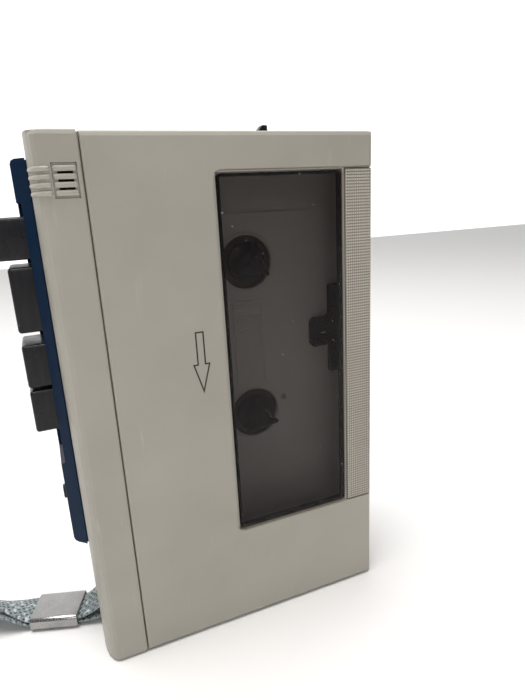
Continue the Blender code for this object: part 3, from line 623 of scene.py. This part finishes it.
def relief(name: str, case: Case, low: tuple[float, float], high: tuple[float, float], back: float,
           surface: np.ndarray) -> bpy.types.Object:
    """A slab whose front is a height field over a rectangle and whose sides run back to a flat back.

    Args:
        name: the piece's name.
        case: the case it belongs to.
        low: its lowest x and z.
        high: its highest x and z.
        back: the y of its back.
        surface: the y of its front at each step of x (rows) and z (columns).

    Returns:
        The object.
    """
    rows, columns = surface.shape
    x, z = np.meshgrid(np.linspace(low[0], high[0], rows), np.linspace(low[1], high[1], columns),
                       indexing="ij")
    front = np.stack([x, surface, z], -1).reshape(-1, 3)
    number = np.arange(rows * columns).reshape(rows, columns)
    rim = np.concatenate([number[:, 0], number[-1, 1:], number[-2::-1, -1], number[0, -2:0:-1]])
    behind = front[rim].copy()
    behind[:, 1] = back
    start = rows * columns
    follow = np.roll(np.arange(rim.size), -1)
    sides = np.stack([rim, rim[follow], start + follow, start + np.arange(rim.size)], -1).tolist()
    faces = grid_faces(rows, columns, False, False) + sides + [list(range(start, start + rim.size))]
    return as_object(name, case.at(np.concatenate([front, behind])), faces, 55.0)


def drawn_in(outline: np.ndarray, distance: float) -> np.ndarray:
    """An outline moved to its left by a distance, each corner along the bisector of its two edges."""
    edge = np.roll(outline, -1, 0) - outline
    edge /= np.linalg.norm(edge, axis=1, keepdims=True)
    normal = np.stack([-edge[:, 1], edge[:, 0]], -1)
    before = np.roll(normal, 1, 0)
    bisector = normal + before
    return outline + bisector * distance / (bisector * normal).sum(1, keepdims=True)


def drawn_line(name: str, case: Case, outline: np.ndarray, width: float, front: float,
               back: float) -> bpy.types.Object:
    """A thin raised line along a closed outline in the plane of the front.

    Args:
        name: the piece's name.
        case: the case it belongs to.
        outline: points of x and z, anticlockwise.
        width: the line's width.
        front: the y of its top.
        back: the y that it goes back to.

    Returns:
        The object.
    """
    inner = drawn_in(outline, width)
    rings = [np.insert(flat, 1, level, axis=1)
             for flat, level in ((outline, back), (outline, front), (inner, front), (inner, back))]
    return tube(name, case.at(np.stack(rings)), wrap_rows=True, smooth_below=20.0)


def show(case_node: str, finish: Finish, bevel: float = 0.0) -> bpy.types.Object:
    """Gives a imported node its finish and, where asked, small rounded edges.

    Args:
        case_node: the node's name.
        finish: its finish.
        bevel: the width of its rounded edges, in millimetres.

    Returns:
        The node's object.
    """
    node = bpy.data.objects[case_node]
    finish.on(node)
    if bevel:
        weld = node.modifiers.new("weld", "WELD")
        weld.merge_threshold = 0.000001
        edge = node.modifiers.new("edges", "BEVEL")
        edge.width = bevel * MM
        edge.segments = 2
        edge.limit_method = "ANGLE"
        edge.angle_limit = math.radians(40)
        edge.harden_normals = False
    LOG.info("%s carries %s", case_node, finish.value.name)
    return node


def ride(piece: bpy.types.Object, body: str, finish: Finish) -> bpy.types.Object:
    """Lets a new piece move with a body and gives it its finish."""
    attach(piece, body)
    finish.on(piece)
    LOG.info("%s rides on %s", piece.name, body)
    return piece


# ---------------------------------------------------------------- sub-assemblies

@dataclass
class WristStrap:
    """The flat braid round its bar, the folded sleeve on it and the loop beyond.

    Attributes:
        bar: x and y of the strap bar.
        heading: direction of the strap from the bar, in degrees.
        width: width of the braid.
        thickness: thickness of the braid.
        sleeve: start, end, lowest and highest place of the sleeve along and above the strap.
    """

    bar: tuple[float, float] = (3.2, 19.7)
    heading: float = 161.0
    width: float = 9.8
    thickness: float = 1.0
    strand: float = 1.55
    sleeve: tuple[float, float, float, float] = (8.2, 21.5, 0.15, 4.05)
    steps: int = 26
    # Distance along the strap from the bar, sideways, height, and lean in degrees.
    route: tuple = (
        (14.6, 0, 2.75, 0), (8.4, 0, 2.75, 0), (5.0, 0, 4.3, 0), (2.4, 0, 6.3, 0), (0, 0, 6.9, 0),
        (-1.6, 0, 6.2, 0), (-2.2, 0, 4.8, 0), (-1.6, 0, 3.4, 0), (0, 0, 2.7, 0), (3.0, 0, 2.4, 0),
        (8.0, 0, 1.45, 0), (14.6, 0, 1.45, 0), (21.3, 0, 1.45, 0), (27, -0.9, 2.5, 18), (36, -3.6, 4.6, 55),
        (48, -7.6, 5.1, 90), (64, -11.6, 5.1, 90), (82, -14.3, 5.1, 90), (100, -14.8, 5.1, 90),
        (116, -12.4, 5.1, 90), (128, -7.0, 5.1, 90), (132, 0, 5.1, 90), (128, 7.0, 5.1, 90),
        (116, 12.4, 5.1, 90), (100, 14.8, 5.1, 90), (82, 14.3, 5.1, 90), (64, 11.6, 5.1, 90),
        (48, 7.6, 5.1, 90), (36, 3.6, 5.1, 55), (27, 0.9, 3.7, 18), (21.3, 0, 2.75, 0), (15.3, 0, 2.75, 0))

    def on_case(self, along: np.ndarray, across: np.ndarray, height: np.ndarray) -> np.ndarray:
        """Points on the case from distances along, across and above the strap's own line."""
        c, s = math.cos(math.radians(self.heading)), math.sin(math.radians(self.heading))
        return np.stack([self.bar[0] + along * c + across * s,
                         self.bar[1] + along * s - across * c, height], -1)

    def curve(self) -> np.ndarray:
        """The route as a smooth curve: a Catmull-Rom blend of each four neighbouring points."""
        points = np.asarray(self.route, float)
        points = np.vstack([2 * points[0] - points[1], points, 2 * points[-1] - points[-2]])
        before, a, b, after = (points[k:len(points) - 3 + k, None, :] for k in range(4))
        t = (np.arange(self.steps) / self.steps)[None, :, None]
        found = 0.5 * (2 * a + (b - before) * t + (2 * before - 5 * a + 4 * b - after) * t ** 2
                       + (3 * a - before - 3 * b + after) * t ** 3)
        return np.vstack([found.reshape(-1, 4), points[-2]])

    def build(self, case: Case) -> None:
        """Makes the braid as a tube along its route and the sleeve that clamps it."""
        route = self.curve()
        centre = self.on_case(route[:, 0], route[:, 1], route[:, 2])
        ahead = np.gradient(centre, axis=0)
        ahead /= np.linalg.norm(ahead, axis=1, keepdims=True)
        turn = np.clip((np.abs(route[:, :1]) - 2.0) / 6.0, 0, 1)
        skew = self.on_case(*np.zeros((3, 1))) - self.on_case(np.zeros(1), -np.ones(1), np.zeros(1))
        flat = (1 - turn) * np.array([[0.0, 1.0, 0.0]]) + turn * skew
        flat /= np.linalg.norm(flat, axis=1, keepdims=True)
        lean = np.radians(route[:, 3:])
        side = flat * np.cos(lean) - np.array([[0.0, 0.0, 1.0]]) * np.sin(lean)
        side -= ahead * (side * ahead).sum(1, keepdims=True)
        side /= np.linalg.norm(side, axis=1, keepdims=True)
        thick = np.cross(ahead, side)
        run = np.concatenate([[0], np.cumsum(np.linalg.norm(np.diff(centre, axis=0), axis=1))])

        angle = np.linspace(0, 2 * math.pi, 56, endpoint=False)
        across = np.sign(np.cos(angle)) * np.abs(np.cos(angle)) ** 0.7 * self.width / 2
        bulge = np.sign(np.sin(angle)) * np.abs(np.sin(angle)) ** 0.45
        wave = 2 * math.pi / self.strand
        weave = np.maximum(np.sin((run[:, None] + across) * wave), np.sin((run[:, None] - across) * wave))
        half = self.thickness / 2 - 0.10 + 0.09 * weave
        points = (centre[:, None, :] + side[:, None, :] * across[None, :, None]
                  + thick[:, None, :] * (bulge * half)[..., None])
        uvs = np.stack([np.broadcast_to(run[:, None], weave.shape), np.broadcast_to(across, weave.shape)], -1)
        braid = ride(tube("strap_braid", case.at(points), uvs=uvs, smooth_below=80.0), "casing",
                     Finish.STRAP)
        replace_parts(braid, "wrist_strap")

        start, end, low, high = self.sleeve
        half_width = self.width / 2 + 0.8
        outer = rounded_outline((-half_width, low), (half_width, high), 1.3)
        inner = rounded_outline((-half_width + 0.5, low + 0.5), (half_width - 0.5, high - 0.5), 0.8)
        lip = rounded_outline((-half_width + 0.12, low + 0.12), (half_width - 0.12, high - 0.12), 1.2)
        rings = [self.on_case(np.full(len(flat), place), flat[:, 0], flat[:, 1]) for place, flat in (
            (start + 0.1, lip), (start + 0.35, outer), (end - 0.35, outer), (end - 0.1, lip),
            (end, inner), (start, inner))]
        sleeve = ride(tube("folded_sleeve", case.at(np.stack(rings)), wrap_rows=True), "casing",
                      Finish.SLEEVE)
        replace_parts(sleeve, "strap_sleeve")


@dataclass
class FrontStrip:
    """The fixed strip with its rounded edge, and the microphone's grille.

    Attributes:
        round_width: how far the rounding reaches across the face.
        round_depth: how far it reaches back.
        bars: heights of the grille's four bars.
        bar_height: height of one bar and of one ridge.
        bar_x: where the bars start and end across the face.
        ridge_height: how far a ridge stands out of the rounded edge.
        seat_low: lowest x and z of the grille's seat.
        seat_high: highest x and z of the seat.
        slot_x: where the slots start and end across the face.
        slot_half: half the height of a slot.
        lip_low: lowest x and z of the lip along the seam.
        lip_high: highest x and z of the lip.
    """

    round_width: float = 3.0
    round_depth: float = 8.0
    bars: tuple = (117.7, 119.3, 120.9, 122.5)
    bar_height: float = 1.05
    bar_x: tuple[float, float] = (4.45, 9.1)
    ridge_height: float = 0.46
    seat_low: tuple[float, float] = (4.31, 116.61)
    seat_high: tuple[float, float] = (9.29, 123.59)
    slot_x: tuple[float, float] = (5.35, 8.45)
    slot_half: float = 0.36
    lip_low: tuple[float, float] = (9.6, 0.6)
    lip_high: tuple[float, float] = (10.12, 129.4)

    def ridge(self, case: Case, number: int, z: float) -> bpy.types.Object:
        """A ridge that follows the rounded edge: the ellipse's points moved out along its normal.

        Args:
            case: the case it belongs to.
            number: its number, for its name.
            z: the height of its middle.

        Returns:
            The object.
        """
        reach = np.linspace(0, 1, 30)
        angle = np.clip(0.35 + (math.pi / 2 - 0.35) * reach / 0.78, 0, math.pi / 2)
        x = self.round_width * (1 - np.cos(angle)) + np.clip(reach - 0.78, 0, 1) / 0.22 * 0.95
        y = self.round_depth * (1 - np.sin(angle))
        normal = np.stack([-np.cos(angle) / self.round_width, -np.sin(angle) / self.round_depth], -1)
        normal /= np.linalg.norm(normal, axis=1, keepdims=True)
        taper = np.clip(np.minimum(reach, 1 - reach) / 0.04, 0, 1) ** 0.5
        turn = np.linspace(0, 2 * math.pi, 18, endpoint=False)
        rise = np.where(np.sin(turn) > 0, np.sin(turn) * self.ridge_height, np.sin(turn) * 0.2)
        out = rise[None, :] * np.where(rise > 0, taper[:, None], 1.0)
        points = np.stack([x[:, None] + normal[:, :1] * out, y[:, None] + normal[:, 1:] * out,
                           np.broadcast_to(z + self.bar_height / 2 * np.cos(turn), out.shape)], -1)
        return tube(f"edge_ridge_{number}", case.at(points))

    def build(self, case: Case) -> None:
        """Adds the bars and ridges and dresses the strip."""
        for number, z in enumerate(self.bars, 1):
            half = self.bar_height / 2 + 0.08
            bar = pillow(f"grille_bar_{number}", case, (self.bar_x[0], -0.26, z - half),
                         (self.bar_x[1], 1.0, z + half), 0.5, 6)
            ride(bar, "casing", Finish.GRILLE)
            ride(self.ridge(case, number, z), "casing", Finish.GRILLE)
        seat = plate("grille_seat", case, self.seat_low, self.seat_high, 0.4,
                     ((0.0, 1.05), (0.0, 0.42), (0.06, 0.36)))
        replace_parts(ride(seat, "casing", Finish.CASE), "mic_grille")
        # Painted shade: near-black pieces between the bars stand in for the shaded holes of the grille.
        for number, (lower, upper) in enumerate(zip(self.bars, self.bars[1:]), 1):
            middle = (lower + upper) / 2
            slot = pillow(f"grille_slot_shade_{number}", case, (self.slot_x[0], 0.02, middle - self.slot_half),
                          (self.slot_x[1], 0.6, middle + self.slot_half), 0.2, 4)
            ride(slot, "casing", Finish.SLOT)
        # The strip's flange in the gap, coloured brown as the painted shade of the gap.
        under = pillow("seam_shade_floor", case, (9.9, 0.30, 0.6), (10.28, 1.4, 129.4), 0.1, 3)
        ride(under, "casing", Finish.SEAM)
        lip = plate("seam_lip", case, self.lip_low, self.lip_high, 0.1,
                    ((0.0, 3.0), (0.0, 0.30), (0.05, 0.25)))
        ride(lip, "casing", Finish.CASE)
        show("front_strip", Finish.CASE)
        show("microphone", Finish.BLACK)


@dataclass
class CassetteDoor:
    """The door with its smoked pane, knurled grip and direction arrow.

    Attributes:
        pane_low: lowest x and z of the pane.
        pane_high: highest x and z of the pane.
        grip_low: lowest x and z of the knurled grip.
        grip_high: highest x and z of the grip.
        knurl: pitch of its bumps across and up.
        pane_corner: radius of the pane's corners.
        knurl_depth: how deep the valleys between the bumps are.
        arrow: corners of the arrow, x and z, from its point anticlockwise.
        arrow_line: width of the arrow's line.
        contour_low: lowest x and z of the painted shade line round the pane's recess.
        contour_high: highest x and z of that line.
    """

    pane_low: tuple[float, float] = (39.0, 28.4)
    pane_high: tuple[float, float] = (71.7, 120.6)
    pane_corner: float = 1.1
    grip_low: tuple[float, float] = (72.8, 27.9)
    grip_high: tuple[float, float] = (80.5, 120.9)
    knurl: tuple[float, float] = (0.64, 0.75)
    knurl_depth: float = 0.42
    arrow: tuple = ((31.7, 69.3), (33.9, 77.0), (32.8, 77.0), (32.8, 85.0), (30.6, 85.0), (30.6, 77.0),
                    (29.5, 77.0))
    arrow_line: float = 0.36
    contour_low: tuple[float, float] = (37.95, 27.75)
    contour_high: tuple[float, float] = (72.25, 121.4)

    def grip(self, case: Case) -> bpy.types.Object:
        """Rows of bumps: the height is the product of a wave across and a wave up, blunted."""
        count = [round((self.grip_high[k] - self.grip_low[k]) / self.knurl[k]) for k in range(2)]
        waves = [np.abs(np.sin(np.linspace(0, n * math.pi, n * 4 + 1))) ** 0.9 for n in count]
        surface = 0.62 - self.knurl_depth * waves[0][:, None] * waves[1][None, :]
        return relief("knurled_grip", case, self.grip_low, self.grip_high, 1.1, surface)

    def rim(self, case: Case) -> bpy.types.Object:
        """The dark sawn edge behind the pane's border, a frame with a square section."""
        rings = []
        for inset, y in ((0.0, 2.2), (0.0, 0.9), (0.18, 0.75), (0.55, 0.80), (0.7, 0.95), (0.7, 2.2)):
            flat = rounded_outline((self.pane_low[0] + inset, self.pane_low[1] + inset),
                                   (self.pane_high[0] - inset, self.pane_high[1] - inset),
                                   max(self.pane_corner - inset, 0.1))
            rings.append(np.insert(flat, 1, y, axis=1))
        return tube("pane_rim", case.at(np.stack(rings)), wrap_rows=True, smooth_below=20.0)

    def build(self, case: Case) -> None:
        """Adds the door's pieces and dresses its nodes."""
        pane = plate("door_pane", case, self.pane_low, self.pane_high, self.pane_corner,
                     ((0.0, 0.72), (0.0, 0.62), (0.28, 0.38)))
        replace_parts(ride(pane, "door", Finish.PANE), "window_pane")
        ride(self.rim(case), "door", Finish.PANE_EDGE)
        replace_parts(ride(self.grip(case), "door", Finish.KNURL), "grip_strip")
        mark = drawn_line("direction_arrow", case, np.asarray(self.arrow, float), self.arrow_line,
                          -0.025, 0.06)
        ride(mark, "door", Finish.INK)
        # Painted shade: a thin brown line round the pane's recess stands in for the shadow at its edge.
        corner = rounded_outline(self.contour_low, self.contour_high, 2.2)
        shade_line = drawn_line("recess_shade_line", case, corner, 0.16, 0.775, 0.83)
        ride(shade_line, "door", Finish.SEAM)
        show("door", Finish.CASE)
        show("cassette_spring", Finish.STEEL)


@dataclass
class TapeDeck:
    """The deck behind the window: rims, rib panel, guide, and the two spindles.

    Attributes:
        surface: y of the deck's raised face; not used.
        reel_x: x of both spindles.
        reels: for each spindle its body, height and the turn of its first vane in degrees.
        hole: radius of the holes round the spindles.
        vane: outline of a vane, its distance from the axis and its depth.
        panel_low: lowest x and z of the ribbed panel.
        panel_high: highest x and z of the ribbed panel.
        pin: x and z of the small round pin.
    """

    surface: float = 12.0
    reel_x: float = 49.3
    reels: tuple = (("takeup", 56.4, -20.0), ("supply", 98.9, -38.0))
    hole: float = 7.25
    vane: tuple = ((1.0, 11.35), (4.7, 11.35), (5.2, 10.9), (5.4, 6.9), (4.4, 5.8), (2.7, 4.9), (1.0, 4.35))
    panel_low: tuple[float, float] = (44.8, 65.4)
    panel_high: tuple[float, float] = (53.0, 88.6)
    pin: tuple[float, float] = (58.6, 59.4)

    def blade(self, case: Case, name: str, z: float, turn: float) -> bpy.types.Object:
        """One vane: its outline of radius and depth, thinner towards its edge.

        Args:
            case: the case it belongs to.
            name: the piece's name.
            z: height of the spindle's axis.
            turn: its direction in degrees, anticlockwise from the right.

        Returns:
            The object.
        """
        outline = np.asarray(self.vane, float)
        half = 1.35 - 0.16 * outline[:, 0]
        c, s = math.cos(math.radians(turn)), math.sin(math.radians(turn))
        rings = [np.stack([self.reel_x + outline[:, 0] * c - half * k * s, outline[:, 1],
                           z + outline[:, 0] * s + half * k * c], -1) for k in (-1, -0.6, 0.6, 1)]
        for ring in (rings[0], rings[3]):
            middle = np.array([self.reel_x + 2.2 * c, 8.0, z + 2.2 * s])
            ring += (middle - ring) * 0.10
        return tube(name, case.at(np.stack(rings)), smooth_below=28.0)

    def spindle(self, case: Case, reel: str, z: float, turn: float) -> None:
        """A spindle: a flanged body that narrows in a curve to its tip, and three vanes."""
        bend = np.linspace(0, math.pi / 2, 12)
        nose = np.stack([0.35 + 2.55 * np.sin(bend), 4.1 + 3.9 * (1 - np.cos(bend))], -1)
        tip = [[0.02, 4.02], [0.2, 4.04]]
        flange = [[2.95, 11.0], [3.3, 11.3], [4.9, 11.35], [5.15, 11.5], [5.2, 12.1], [4.9, 12.3]]
        foot = [[2.9, 12.4], [2.9, 13.5], [0.02, 13.5]]
        profile = np.vstack([tip, nose, flange, foot])
        body = turned(f"{reel}_spindle_body", case, profile, (self.reel_x, z))
        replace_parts(ride(body, f"{reel}_reel", Finish.SPINDLE), f"{reel}_spindle")
        for number in range(3):
            vane = self.blade(case, f"{reel}_vane_{number + 1}", z, turn + 120.0 * number)
            ride(vane, f"{reel}_reel", Finish.SPINDLE)

    def build(self, case: Case) -> None:
        """Adds the deck's pieces and dresses its nodes."""
        for reel, z, turn in self.reels:
            self.spindle(case, reel, z, turn)
            rim = ((self.hole - 0.25, 12.6), (self.hole - 0.25, 11.95), (self.hole, 11.72),
                   (self.hole + 0.25, 11.70), (self.hole + 0.5, 11.8), (self.hole + 0.7, 12.1),
                   (self.hole + 0.7, 12.6))
            ring = turned(f"{reel}_hole_rim", case, rim, (self.reel_x, z), closed=True)
            ride(ring, "casing", Finish.DECK)
            show(f"{reel}_reel_table", Finish.FLOOR_OF_HOLE, 0.2)
        ribs = np.linspace(0, 1, 186)
        fade = np.clip(1.25 - np.linspace(0, 1, 17), 0, 1)
        surface = 11.90 - 0.07 * np.abs(np.sin(ribs * 38 * math.pi))[None, :] * fade[:, None]
        surface[[0, -1], :] = 11.80
        surface[:, [0, 1, -2, -1]] = 11.80
        panel = relief("rib_panel", case, self.panel_low, self.panel_high, 12.3, surface)
        ride(panel, "casing", Finish.DECK)
        dot = turned("deck_pin", case, ((0.02, 11.72), (0.5, 11.75), (0.85, 11.88),
                                       (0.95, 12.05), (0.95, 12.3),
                                        (0.02, 12.3)), self.pin, sides=28)
        ride(dot, "casing", Finish.PIN)
        tick = pillow("guide_tick", case, (70.4, 10.5, 76.8), (71.9, 10.75, 77.1), 0.1, 3)
        ride(tick, "casing", Finish.PIN)
        show("deck_plate", Finish.DECK)
        show("cassette_guide", Finish.GUIDE, 0.35)


@dataclass
class KeyBank:
    """The side panel, its four keys and the slide switch.

    Attributes:
        keys: names of the keys, from the top down.
        corner: radius of a key's edges.
        shroud: x of the black filler between the keys, outer and inner.
    """

    keys: tuple = ("record_key", "play_key", "rewind_key", "forward_key")
    corner: float = 0.75
    shroud: tuple[float, float] = (-2.3, 0.9)

    def build(self, case: Case) -> None:
        """Adds the keys and the fillers between them and dresses the panel."""
        spans = []
        for name in self.keys:
            low, high = case.corners(name)
            cap = pillow(f"{name}_cap", case, low, high, self.corner, 6)
            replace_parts(ride(cap, name, Finish.KEY), name)
            show(f"{name}_bar", Finish.STEEL)
            spans.append((low[2], high[2]))
            depth = (low[1] + 0.3, high[1] - 0.3)
        tops = [116.2] + [low for low, _ in spans]
        bottoms = [high for _, high in spans] + [57.2]
        for number, (top, bottom) in enumerate(zip(tops, bottoms), 1):
            filler = pillow(f"key_filler_{number}", case, (self.shroud[0], depth[0], bottom + 0.35),
                            (self.shroud[1], depth[1], top - 0.35), 0.25, 4)
            ride(filler, "casing", Finish.BLACK)
        low, high = case.corners("slide_switch_knob")
        knob = pillow("slide_switch_cap", case, low, high, 0.4, 5)
        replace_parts(ride(knob, "slide_switch", Finish.KEY), "slide_switch_knob")
        seat = pillow("panel_seat", case, (-0.6, 9.9, 31.1), (0.3, 11.4, 125.1), 0.2, 4)
        ride(seat, "casing", Finish.NAVY)
        show("side_panel", Finish.NAVY, 0.35)


@dataclass
class Fittings:
    """Everything else: the cabinet, what is on its top, side and back, and what is inside.

    Attributes:
        bevelled: nodes with small rounded edges, their finish and the edges' width.
        plain: finishes and the nodes that carry them as they are.
    """

    bevelled: tuple = (("jack_plate", Finish.CASE, 0.3), ("top_switch_knob", Finish.KEY, 0.3),
                       ("battery_cover", Finish.CASE, 0.2), ("volume_wheel", Finish.KEY, 0.2),
                       ("record_play_head", Finish.HEAD, 0.3), ("erase_head", Finish.BLACK, 0.3))
    plain: dict = field(default_factory=lambda: {
        Finish.CASE: ("rear_cabinet",),
        Finish.STEEL: ("back_screw_1", "back_screw_2", "back_screw_3", "back_screw_4", "battery_contact_left",
                       "battery_contact_right", "door_hinge_rod", "door_catch",
                       "chassis", "capstan_shaft", "motor",
                       "head_plate", "key_frame", "strap_bar"),
        Finish.BRASS: ("capstan_bearing", "flywheel", "motor_pulley"),
        Finish.RUBBER: ("drive_wheel", "drive_belt", "takeup_idler", "pinch_roller"),
        Finish.BLACK: ("battery_tray", "slide_switch_body", "top_switch_body", "volume_pot", "jack_sockets",
                       "loudspeaker"),
        Finish.BOARD: ("circuit_board",)})

    def build(self, case: Case) -> None:
        """Dresses the nodes."""
        for node, finish, edge in self.bevelled:
            show(node, finish, edge)
        for finish, nodes in self.plain.items():
            for node in nodes:
                show(node, finish)


@dataclass
class Studio:
    """The floor, the lights and the camera.

    Attributes:
        camera: the camera's place on the case.
        heading: degrees that it looks towards the right.
        dip: degrees that it looks down.
        roll: degrees that it is turned about its own line of sight.
        lens: its focal length on a 36 mm long side.
        sky: strength of the world's light.
    """

    camera: Point = (-0.3, -117.5, 113.6)
    heading: float = 22.24
    dip: float = 15.70
    roll: float = -3.07
    lens: float = 26.8
    sky: float = 0.23

    def aim(self, case: Case) -> None:
        """Puts the camera: its right, up and backward directions are the columns of its matrix."""
        yaw, dip, roll = (math.radians(angle) for angle in (self.heading, self.dip, self.roll))
        forward = Vector((math.sin(yaw) * math.cos(dip), math.cos(yaw) * math.cos(dip), -math.sin(dip)))
        level = Vector((math.cos(yaw), -math.sin(yaw), 0.0))
        upright = level.cross(forward)
        right = level * math.cos(roll) + upright * math.sin(roll)
        up = right.cross(forward)
        data = bpy.data.cameras.new("camera")
        data.lens = self.lens
        data.sensor_width = 36.0
        data.clip_start = 0.005
        camera = bpy.data.objects.new("camera", data)
        matrix = Matrix((right, up, -forward)).transposed().to_4x4()
        matrix.translation = Vector(case.at(np.array(self.camera)))
        camera.matrix_world = matrix
        bpy.context.scene.collection.objects.link(camera)
        bpy.context.scene.camera = camera

    def light(self, name: str, place: Point, target: Point, power: float, size: float,
              colour: Colour) -> None:
        """Adds a square area light.

        Args:
            name: its name.
            place: where it is, in metres.
            target: the point that it faces.
            power: its power in watts.
            size: its side in metres.
            colour: its colour.
        """
        data = bpy.data.lights.new(name, "AREA")
        data.energy = power
        data.size = size
        data.color = colour
        lamp = bpy.data.objects.new(name, data)
        lamp.location = place
        lamp.rotation_euler = (Vector(target) - Vector(place)).to_track_quat("-Z", "Y").to_euler()
        bpy.context.scene.collection.objects.link(lamp)

    def sheet(self, name: str, profile: np.ndarray, finish: Finish) -> None:
        """Adds a wide sheet, its profile given as rows of y and z in metres.

        Args:
            name: its name.
            profile: the line that it follows from front to back.
            finish: its finish.
        """
        line = np.asarray(profile, float)
        x = np.array([-4.0, 0.0, 4.0])
        points = np.stack(np.broadcast_arrays(x[:, None], line[None, :, 0], line[None, :, 1] - 0.0002), -1)
        finish.on(as_object(name, points, grid_faces(3, len(line), False, False)))

    def build(self, case: Case) -> None:
        """Makes the floor, the backdrop, the world's light and the lamps."""
        self.aim(case)
        bpy.context.scene.view_settings.view_transform = "Standard"
        bend = np.linspace(0, math.pi / 2, 14)
        self.sheet("floor", [[-4.0, 0.0], [1.2, 0.0]], Finish.FLOOR)
        sweep = np.vstack([[[1.2, 0.0]], np.stack([1.2 + np.sin(bend), 1 - np.cos(bend)], -1), [[2.2, 4.0]]])
        self.sheet("backdrop", sweep, Finish.BACKDROP)
        world = bpy.data.worlds.new("world")
        world.use_nodes = True
        background = world.node_tree.nodes["Background"]
        background.inputs[0].default_value = (1.0, 1.0, 1.0, 1.0)
        background.inputs[1].default_value = self.sky
        bpy.context.scene.world = world
        self.light("ceiling", (-0.12, -0.05, 0.9), (0, 0, 0.0), 8.5, 0.5, (1.0, 0.98, 0.96))
        self.light("window", (-0.15, -1.0, 0.62), (0, 0, 0.06), 1.8, 0.45, (1.0, 0.985, 0.97))


def main() -> None:
    """Builds the looks of the whole machine."""
    logging.basicConfig(level=logging.INFO, format="%(name)s: %(message)s")
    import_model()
    case = Case.measured()
    Studio().build(case)
    for assembly in (WristStrap(), FrontStrip(), CassetteDoor(), TapeDeck(), KeyBank(), Fittings()):
        assembly.build(case)
        LOG.info("%s is complete", type(assembly).__name__)


if __name__ == "__main__":
    main()
